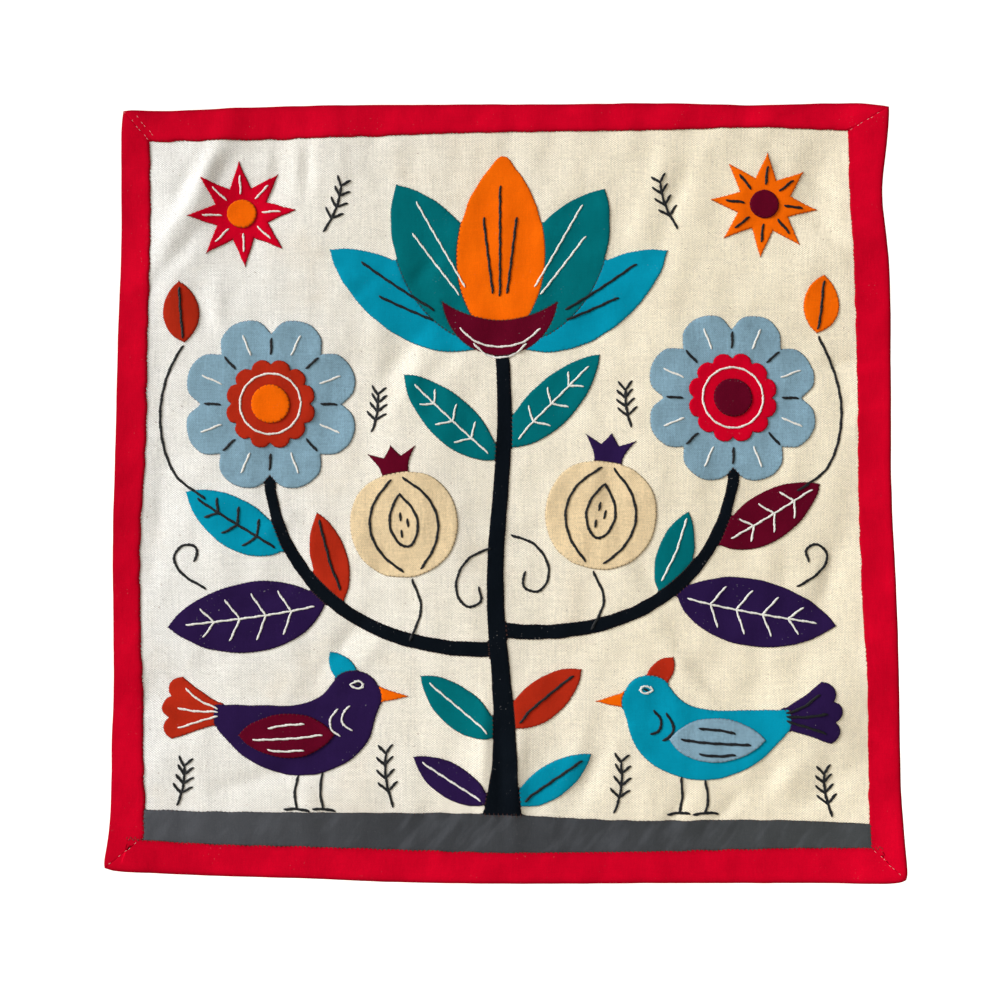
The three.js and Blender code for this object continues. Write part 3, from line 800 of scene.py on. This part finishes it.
# The sprigs: eight small ones stand on the open canvas between the other motifs. Each is a bent stem of
# black stem stitch with four pairs of short strokes. Its place is its foot's, and it leans in degrees.
Sprig = namedtuple("Sprig", "x z lean length bend")
SPRIGS = [
    Sprig(-117, -84, 18, 38, 3),
    Sprig(112, -82, -18, 38, -3),
    Sprig(-85, -214, 6, 29, 2),
    Sprig(81, -211, -6, 29, -2),
    Sprig(-70, -451, -6, 40, -3),
    Sprig(69, -455, 5, 38, 3),
    Sprig(-206, -450, 8, 30, 2),
    Sprig(206, -457, -8, 32, -2),
]
STEM_SHARES = (0, 0.3, 0.6, 0.84)
STROKE_SHARES = (0.26, 0.46, 0.66, 0.84)
STROKE_UP, STROKE_OUT = 5.4, 5.8


def leaning(degrees):
    """The way up something that leans clockwise, and the way to its right."""
    turn = math.radians(degrees)
    return Vector((math.sin(turn), math.cos(turn))), Vector((math.cos(turn), -math.sin(turn)))


for sprig in SPRIGS:
    up, right = leaning(sprig.lean)
    foot = Vector((sprig.x, sprig.z))
    places = {}
    for share in STEM_SHARES + STROKE_SHARES:
        bent = right * sprig.bend * math.sin(math.pi * share)
        places[share] = foot + up * sprig.length * share + bent
    lines.append(Line(BLACK, [places[share] for share in STEM_SHARES]))
    for share in STROKE_SHARES:
        for hand in (-1, 1):
            tip = places[share] + up * STROKE_UP + right * hand * STROKE_OUT * (1.2 - 0.5 * share)
            lines.append(Line(BLACK, [places[share], tip]))

# The lotus: a cup, and five petals that lie behind each other and behind the cup, with rays of stem
# stitch on them.
for node in ("lotus_cup", "petal_middle"):
    sew_on(node)
for place in ("inner", "outer"):
    for hand in ("left", "right"):
        sew_on(f"petal_{place}_{hand}")

Ray = namedtuple("Ray", "turn start end bend thread")
LOTUS_FOOT = (-3, -158)
PETAL_LENGTH = 118
LOTUS_RAYS = [
    Ray(0, 32, 104, 0, BLACK),
    Ray(-8, 34, 84, 2, BLACK),
    Ray(8, 34, 84, -2, BLACK),
    Ray(-31, 44, 108, 2, WHITE),
    Ray(-39, 42, 92, 3, WHITE),
    Ray(31, 44, 106, -2, WHITE),
    Ray(39, 42, 90, -3, WHITE),
    Ray(-64, 48, 104, 12, BLACK),
    Ray(-71, 46, 84, 9, BLACK),
    Ray(64, 48, 102, -12, BLACK),
    Ray(71, 46, 82, -9, BLACK),
]
for ray in LOTUS_RAYS:
    way, right = leaning(ray.turn)
    chain = []
    for i in range(5):
        reach = ray.start + (ray.end - ray.start) * i / 4
        chain.append(Vector(LOTUS_FOOT) + way * reach + right * ray.bend * (reach / PETAL_LENGTH) ** 2)
    lines.append(Line(ray.thread, chain))
drawn_lines(
    WHITE,
    [(-29, -147), (-18, -156), (-3, -159), (12, -156), (23, -147)],
    [(-20, -157), (-12, -164), (-3, -166), (6, -164), (14, -157)],
)

# The two round flowers: petals cut in one piece, a scalloped round sewn on them and a button on that,
# with spokes of stem stitch between the petals.
Flower = namedtuple("Flower", "side x z")
RING_RADIUS = 19.5
for flower in (Flower("left", -150, -196), Flower("right", 146, -192)):
    sew_on(f"rosette_{flower.side}")
    sew_on(f"rosette_round_{flower.side}", SECOND)
    sew_on(f"rosette_button_{flower.side}", THIRD)
    middle = Vector((flower.x, flower.z))
    for i in range(16):
        turn = math.radians(i * 22.5)
        way = Vector((math.cos(turn), math.sin(turn)))
        thread, start, end = (WHITE, 34, 48) if i % 2 else (BLACK, 32, 42.5)
        lines.append(Line(thread, [middle + way * start, middle + way * end]))
    ring = []
    for i in range(19):
        turn = math.radians(i * 20 + 5)
        x, z = flower.x + RING_RADIUS * math.cos(turn), flower.z + RING_RADIUS * math.sin(turn)
        ring.append(Vector((x, z)))
    lines.append(Line(WHITE, ring))

# The two fruits: a beige round that draws up to a neck, and a dark crown of three points. Seams and
# seeds are stitched on it in black.
Fruit = namedtuple("Fruit", "side x z radius tilt")
FRUITS = [Fruit("left", -64, -274, 33, -10), Fruit("right", 61, -268, 34, 8)]
FRUIT_LINES = [
    [(-0.1, 0.92), (-0.52, 0.5), (-0.66, 0.0), (-0.5, -0.5), (-0.16, -0.88)],
    [(0.12, 0.92), (0.5, 0.52), (0.66, 0.02), (0.52, -0.48), (0.18, -0.88)],
    [(0.0, 0.62), (-0.22, 0.28), (-0.26, -0.08), (0.0, -0.42), (0.26, -0.08), (0.22, 0.28), (0.0, 0.62)],
    [(-0.04, 0.26), (-0.04, 0.1)],
    [(0.07, 0.12), (0.08, -0.04)],
    [(-0.08, -0.08), (-0.06, -0.22)],
]
for fruit in FRUITS:
    sew_on(f"fruit_{fruit.side}")
    sew_on(f"fruit_crown_{fruit.side}")
    turn = math.radians(fruit.tilt)
    for chain in FRUIT_LINES:
        placed = []
        for across, up in chain:
            x = fruit.x + fruit.radius * (across * math.cos(turn) + up * math.sin(turn))
            z = fruit.z + fruit.radius * (up * math.cos(turn) - across * math.sin(turn))
            placed.append(Vector((x, z)))
        lines.append(Line(BLACK, placed))

# The two stars: eight points, each with a short stitched ray, and a round in the middle.
Star = namedtuple("Star", "side x z turn thread")
for star in (Star("left", -170, -72, 4, WHITE), Star("right", 168, -66, -5, BLACK)):
    sew_on(f"star_{star.side}")
    sew_on(f"star_round_{star.side}", SECOND)
    for i in range(8):
        turn = math.radians(i * 45 + star.turn)
        way, middle = Vector((math.cos(turn), math.sin(turn))), Vector((star.x, star.z))
        lines.append(Line(star.thread, [middle + way * 13, middle + way * 25]))

# The two birds: a body, a tail, a beak and a crest tucked in at it, and a wing on it. The eyes, the
# feathers and the legs are stitched. They're drawn facing right and turned over for the other side.
Bird = namedtuple("Bird", "side x z facing feather")
BIRDS = [Bird("left", -134, -402, 1, WHITE), Bird("right", 130, -405, -1, BLACK)]
BIRD_SIZE = 0.95
FEATHERS = [
    [(38, 15), (33, 9), (34, 2), (40, -1)],
    [(30, 13), (25, 6), (26, -1), (32, -5)],
    [(-76, 0), (-64, 4), (-50, 8)],
    [(-77, 13), (-64, 11), (-50, 11)],
    [(-72, 26), (-62, 18), (-50, 13)],
]
WING_FEATHERS = [
    [(20, -4), (6, -6), (-10, -7), (-26, -7.5)],
    [(8, 3), (-6, 2), (-16, 0)],
    [(8, -14), (-6, -15), (-16, -14)],
]
LEGS = [
    [(4, -31), (2, -44), (4, -52.5)],
    [(20, -29), (19, -42), (21, -52.5)],
    [(-5, -53), (4, -52.5), (12, -54)],
    [(14, -53), (21, -52.5), (29, -54)],
]
EYE_WHITE = [(38, 28.5), (41, 31), (45, 31), (47.5, 28.5), (45, 26.5), (41, 26.5), (38, 28.5)]
EYE = [(41.5, 28.8), (44.5, 28.8)]
for bird in BIRDS:
    for part in ("body", "tail", "beak", "crest"):
        sew_on(f"bird_{part}_{bird.side}")
    sew_on(f"bird_wing_{bird.side}", SECOND)
    bird_lines = [(chain, bird.feather) for chain in FEATHERS + WING_FEATHERS]
    bird_lines += [(chain, BLACK) for chain in LEGS]
    bird_lines += [(EYE_WHITE, WHITE), (EYE, BLACK)]
    for chain, thread in bird_lines:
        across = bird.facing * BIRD_SIZE
        placed = [Vector((bird.x + across * x, bird.z + BIRD_SIZE * z)) for x, z in chain]
        lines.append(Line(thread, placed))

# The grey strip along the foot, sewn down along its top, its other edges caught under the edging.
Height = namedtuple("Height", "x z")
STRIP_TOP = [
    Height(-240, -451.4),
    Height(-192, -453.4),
    Height(-95, -454.2),
    Height(-3, -455.4),
    Height(50, -458.2),
    Height(92, -459.6),
    Height(174, -459.2),
    Height(240, -461.6),
]
CAUGHT = 1.3
strip_top = curved([Vector(row) for row in STRIP_TOP], 3)
strip_left, strip_right = BOTTOM_LEFT.inner[0] - CAUGHT, BOTTOM_RIGHT.inner[0] + CAUGHT
strip_foot = [point - Vector((0, CAUGHT)) for point in sides["bottom"][1]]
strip_foot[0].x, strip_foot[-1].x = strip_left, strip_right
strip_line = [point for point in strip_top if strip_left + 1 < point.x < strip_right - 1]
strip_line.insert(0, Vector((strip_left, strip_line[0].y)))
strip_line.append(Vector((strip_right, strip_line[-1].y)))
cut_outlines["grey_strip"] = smooth_outline([*strip_foot, *reversed(strip_line)])
sew_on("grey_strip")

# The edging: four strips of red cotton, folded over the canvas's edge and sewn down by hand, front and
# back, with a mitre at each corner. The fold is full and a little rippled, and the sewn edge is drawn in
# at each stitch. A row of the section is a share of the strip's width, a distance on, and a level.
EDGING_SECTION = [
    (1, 0.0, 1.43),
    (1, -0.1, 1.78),
    (1, -0.35, 2.12),
    (1, -0.9, 2.4),
    (1, -1.8, 2.48),
    (1, -4.0, 2.42),
    (0.62, 0, 2.4),
    (0.42, 0, 2.42),
    (0, 5.0, 2.5),
    (0, 2.6, 2.58),
    (0, 1.3, 2.5),
    (0, 0.5, 2.16),
    (0, 0.1, 1.5),
    (0, 0.0, 0.7),
    (0, 0.1, -0.1),
    (0, 0.5, -0.75),
    (0, 1.3, -1.1),
    (0, 4.0, -1.22),
    (0, 7.8, -1.15),
    (0, 8.7, -0.85),
    (0, 9.0, -0.35),
    (0, 8.9, 0.3),
    (0, 8.0, 0.46),
    (0, 4.0, 0.46),
    (0, 2.4, 0.9),
    (0, 4.0, 1.41),
    (0.5, 0, 1.41),
    (1, -1.5, 1.41),
    (1, 0.0, 1.43),
]
EDGING_STEP = 1.5
EDGING_ENDS = (0.0, 0.15, 0.4, 0.8, 1.4)
EDGE_STRAYS = 0.35
EDGE_DRAWN = 0.45
BACK_PITCH = 5.5


def edging_strip(name, seed):
    """Makes the strip of one side: the section, swept from corner to corner."""
    outer, inner = sides[name]
    length = length_of(outer)
    middle = np.linspace(EDGING_ENDS[-1], length - EDGING_ENDS[-1], round(length / EDGING_STEP))
    stations = [*EDGING_ENDS[:-1], *middle, *(length - d for d in reversed(EDGING_ENDS[:-1]))]
    places = []
    for distance in stations:
        share = distance / length
        start, end = at(outer, share), at(inner, share)
        way = (at(outer, min(1, share + 0.01)) - at(outer, max(0, share - 0.01))).normalized()
        places.append((start, end, abs((end - start).cross(way))))
    strays = ripple(np.array(stations), np.full(len(stations), seed * 40.0), 14, seed)
    uneven = 1 + 0.6 * ripple(np.array(stations), np.full(len(stations), seed * 40.0), 7, seed + 9)
    bm = bmesh.new()
    bmesh.ops.create_grid(bm, x_segments=len(stations) - 1, y_segments=len(EDGING_SECTION) - 1, size=0.5)
    clear_of_painted_shade = bm.verts.layers.float.new("clear_of_painted_shade")
    for vert in bm.verts:
        station = round((vert.co.x + 0.5) * (len(stations) - 1))
        share, onward, level = EDGING_SECTION[round((vert.co.y + 0.5) * (len(EDGING_SECTION) - 1))]
        start, end, width = places[station]
        distance = stations[station]
        drawn = pinch(distance) * uneven[station] if share == 1 and onward > -2 else 0
        across = share * width + onward - EDGE_DRAWN * drawn
        across += EDGE_STRAYS * strays[station] if share == 1 else 0
        if onward > 7:
            across += 0.5 * math.sin(distance / 17 + seed) + 0.2 * pinch(distance, BACK_PITCH)
        seam = math.exp(-((min(distance, length - distance) / 0.5) ** 2))
        swell = 0
        if share == 0 and level > 1.6:
            swell = 0.14 * math.sin(distance / 9.5 + seed * 2) + 0.08 * math.sin(distance / 4.3 + seed)
        if level > 1.6:
            swell -= 0.16 * seam + 0.25 * drawn
        point = start.lerp(end, across / width)
        vert.co = (point.x * MM, -(level + swell) * MM, point.y * MM)
        # Painted shade: darker along the sewn hem, in a dark line along the outer fold and in the mitre
        # seams.
        hem_painted_shade = math.exp(-((onward / 1.6) ** 2)) if share == 1 and level > 1.42 else 0
        fold_painted_shade = math.exp(-((onward / 2.0) ** 2)) if share == 0 and level > 0 else 0
        vert[clear_of_painted_shade] = (1 - 0.7 * hem_painted_shade) * (1 - fold_painted_shade) * (1 - 0.2 * seam)
    bmesh.ops.remove_doubles(bm, verts=bm.verts, dist=1e-7)
    bmesh.ops.holes_fill(bm, edges=[e for e in bm.edges if e.is_boundary], sides=0)
    bmesh.ops.recalc_face_normals(bm, faces=bm.faces)
    finish_piece(bm, "red_edging_" + name, "edging_" + name)


for seed, name in enumerate(sides):
    edging_strip(name, seed)

# The stitches: stem stitch in black and in white six-strand cotton, which makes a line like a thin
# rope, tiny stitches of brown sewing thread that hold each edge down, and pale ones at the mitres.
Thread = namedtuple("Thread", "slot colour half slant pitch")
STEM_THREADS = [
    Thread(BLACK, (14, 17, 22), 0.84, 0.42, 2.5),
    Thread(WHITE, (232, 230, 224), 0.62, 0.32, 2.2),
]
SEWING_THREAD = Thread("thread_sewing", (80, 46, 38), 0.21, 0, HEM_PITCH)
MITRE_THREAD = Thread(WHITE, (236, 190, 186), 0.12, 0, 2.2)

front_bm = bmesh.new()
for cloth in cloths:
    front_bm.from_mesh(cloth.data)
front_tree = BVHTree.FromBMesh(front_bm)
front_bm.free()


def on_front(place):
    """The place on the front of the cloth, or of the piece that lies there."""
    hit = front_tree.ray_cast(Vector((place.x * MM, -0.05, place.y * MM)), Vector((0, 1, 0)))[0]
    return hit / MM if hit else Vector((place.x, -GROUND_FRONT, place.y))


def lay(start, end, half):
    """Where one stitch lies: a plump strand, out of the cloth at one place and in at another."""
    start, end = on_front(start), on_front(end)
    way = (end - start).normalized()
    out = (Vector((0, -1, 0)) - way * -way.y).normalized()
    across = out.cross(way)
    middle = (start + end) / 2 + out * half * 0.25
    shape = Matrix((across * half, out * half * 0.62, way * ((end - start).length / 2 + half * 0.4)))
    return Matrix.Translation(middle * MM) @ Matrix.Scale(MM, 4) @ shape.transposed().to_4x4()


def stitched(name, thread, stitches, rings=6):
    """Makes an object of stitches, each given as its two ends."""
    bm = bmesh.new()
    bmesh.ops.create_uvsphere(bm, u_segments=6, v_segments=rings, radius=1)
    strand = bpy.data.meshes.new("strand")
    bm.to_mesh(strand)
    bm.free()
    one = put_in_scene("strand", strand)
    copies = one.modifiers.new("copies", "ARRAY")
    copies.count = len(stitches)
    copies.use_relative_offset = False
    mesh = bpy.data.meshes.new_from_object(one.evaluated_get(bpy.context.evaluated_depsgraph_get()))
    mesh.name = name
    shape = np.array([(*vert.co, 1) for vert in strand.vertices])
    lies = np.array([lay(start, end, thread.half) for start, end in stitches])
    mesh.vertices.foreach_set("co", np.einsum("sij,vj->svi", lies[:, :3], shape).ravel())
    mesh.update()
    bpy.data.objects.remove(one)
    mesh.shade_smooth()
    material = bpy.data.materials.new(thread.slot)
    material.use_nodes = True
    material.node_tree.nodes.clear()
    start = Wire(material.node_tree)
    place = start.node("TexCoord", output=3)
    strands = noise(place, 0.5, 2.0)
    colour = display(*thread.colour)
    shade = 0.72 + 0.5 * strands
    lit = place.shaded(colour, shade)
    bump = place.node("Bump", {}, {"Height": strands * (0.12 * MM), "Strength": 1.0, "Distance": 1.0})
    sockets = {"Base Color": lit, "Roughness": 0.6, "Normal": bump, "Specular IOR Level": 0.3}
    place.node("OutputMaterial", {}, {"Surface": place.node("BsdfPrincipled", {}, sockets)})
    mesh.materials.append(material)
    made = put_in_scene(name, mesh)
    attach(made, "root")
    return made


for thread in STEM_THREADS:
    row = []
    for number, line in enumerate(line for line in lines if line.thread == thread.slot):
        chain = curved(line.points, 1.0)
        length = length_of(chain)
        count = max(1, round(length / thread.pitch))
        middles, reach = (np.arange(count) + 0.5) / count, 0.85 * thread.pitch / length
        ends = zip(spaced(chain, middles - reach), spaced(chain, middles + reach))
        for i, (start, end) in enumerate(ends):
            way = (end - start).normalized()
            right = Vector((way.y, -way.x))
            stray = right * 0.16 * math.sin(i * 1.7 + number * 2.3)
            row.append((start - right * thread.slant + stray, end + right * thread.slant + stray))
    stitched("stem_stitch_" + thread.slot.split("_")[1], thread, row)

row = []
for outline in hems:
    closed = [*outline, outline[0]]
    count = round(length_of(closed) / HEM_PITCH)
    places = spaced(closed, np.arange(count) / count)
    for i, place in enumerate(places):
        way = (places[(i + 1) % count] - places[i - 1]).normalized()
        inward = Vector((-way.y, way.x))
        row.append((place - inward * 0.3, place + inward * 0.75 + way * 0.3))
for outer, inner in sides.values():
    count = round(length_of(inner) / HEM_PITCH)
    shares = np.arange(2, count - 1) / count
    for place, out in zip(spaced(inner, shares), spaced(outer, shares)):
        way = (out - place).normalized()
        row.append((place - way * 0.2, place + way * 0.8 + Vector((way.y, -way.x)) * 0.25))
stitched("hem_stitches", SEWING_THREAD, row, 4)

MITRE_PITCH = 2.4
MITRES = [(TOP_LEFT, 2), (TOP_RIGHT, 1), (BOTTOM_LEFT, 1), (BOTTOM_RIGHT, 1)]
row = []
for number, (corner, seams) in enumerate(MITRES):
    outer, inner = Vector(corner.outer), Vector(corner.inner)
    way = (outer - inner).normalized()
    right = Vector((way.y, -way.x))
    for seam in range(seams):
        for i in range(round((outer - inner).length / MITRE_PITCH)):
            if math.sin(i * 2.3 + number * 1.9) > -0.1:
                stray = 0.25 + 4.2 * seam + 0.25 * math.sin(i * 1.3)
                place = inner + way * (1.2 + MITRE_PITCH * i) + right * stray
                row.append((place, place + way * 1.5))
stitched("mitre_stitches", MITRE_THREAD, row, 4)

# The camera, at the photograph's angle: straight on from the front, a little below the middle, and
# turned up a little.
CAMERA_AT = Vector((-0.003, -0.7489, -0.2981))
LOOKS_AT = Vector((-0.003, 0, -0.2575))
camera_data = bpy.data.cameras.new("camera")
camera_data.sensor_width = 36
camera_data.lens = 42.2
camera = put_in_scene("camera", camera_data)
camera.location = CAMERA_AT
camera.rotation_mode = "QUATERNION"
camera.rotation_quaternion = (LOOKS_AT - CAMERA_AT).to_track_quat("-Z", "Y")
bpy.context.scene.camera = camera

# The studio: pale paper that is a floor and turns up into a wall far behind, a cool light that rakes
# across the cloth from the upper left and shows its folds, and a warmer even light from all round. The
# paper glows behind the cloth, so it's white there without a stronger light on the rest.
FLOOR, WALL, TURN, SPREAD = -0.8, 2.2, 0.9, 9.0
arc = TURN * math.pi / 2
flat_part = SPREAD - 1
backdrop_bm = bmesh.new()
bmesh.ops.create_grid(backdrop_bm, x_segments=1, y_segments=40, size=0.5)
for vert in backdrop_bm.verts:
    run = (vert.co.y + 0.5) * 2 * SPREAD
    x = vert.co.x * 2 * SPREAD
    if run < flat_part:
        vert.co = (x, WALL - TURN - flat_part + run, FLOOR)
    elif run < flat_part + arc:
        angle = (run - flat_part) / TURN
        vert.co = (x, WALL - TURN + TURN * math.sin(angle), FLOOR + TURN - TURN * math.cos(angle))
    else:
        vert.co = (x, WALL, FLOOR + TURN + run - flat_part - arc)
backdrop_mesh = bpy.data.meshes.new("backdrop")
backdrop_bm.to_mesh(backdrop_mesh)
backdrop_bm.free()
backdrop_mesh.shade_smooth()
backdrop = put_in_scene("backdrop", backdrop_mesh)

GLOW_STARTS, GLOW_SIDES, GLOW_TOP = (0.2, 0.55), (1.25, 1.8), (1.1, 1.7)
paper = bpy.data.materials.new("studio paper")
paper.use_nodes = True
paper_surface = paper.node_tree.nodes["Principled BSDF"]
paper_surface.inputs["Base Color"].default_value = (0.72, 0.69, 0.63, 1)
paper_surface.inputs["Roughness"].default_value = 1.0
paper_wire = Wire(paper.node_tree)
paper_place = paper_wire.node("SeparateXYZ", {}, {0: paper_wire.node("TexCoord", output=3)})
paper_glow = paper_place.beside(1).over(*GLOW_STARTS) * (1 - abs(paper_place).over(*GLOW_SIDES))
paper_glow = paper_glow * (1 - paper_place.beside(2).over(*GLOW_TOP))
paper.node_tree.links.new(paper_glow.socket, paper_surface.inputs["Emission Color"])
paper_surface.inputs["Emission Strength"].default_value = 0.46
backdrop_mesh.materials.append(paper)

world = bpy.data.worlds.new("studio")
world.use_nodes = True
air = world.node_tree.nodes["Background"]
air.inputs["Color"].default_value = (1, 0.96, 0.88, 1)
air.inputs["Strength"].default_value = 0.25
bpy.context.scene.world = world

KEY_FROM = Vector((-1.5, -0.75, 0.8))
key_light = bpy.data.lights.new("key", "SUN")
key_light.energy = 4.25
key_light.angle = 0.4
key_light.color = (0.97, 0.985, 1.0)
key = put_in_scene("key", key_light)
key.location = KEY_FROM
key.rotation_mode = "QUATERNION"
key.rotation_quaternion = (-KEY_FROM).to_track_quat("-Z", "Y")
bpy.context.scene.view_settings.view_transform = "Standard"
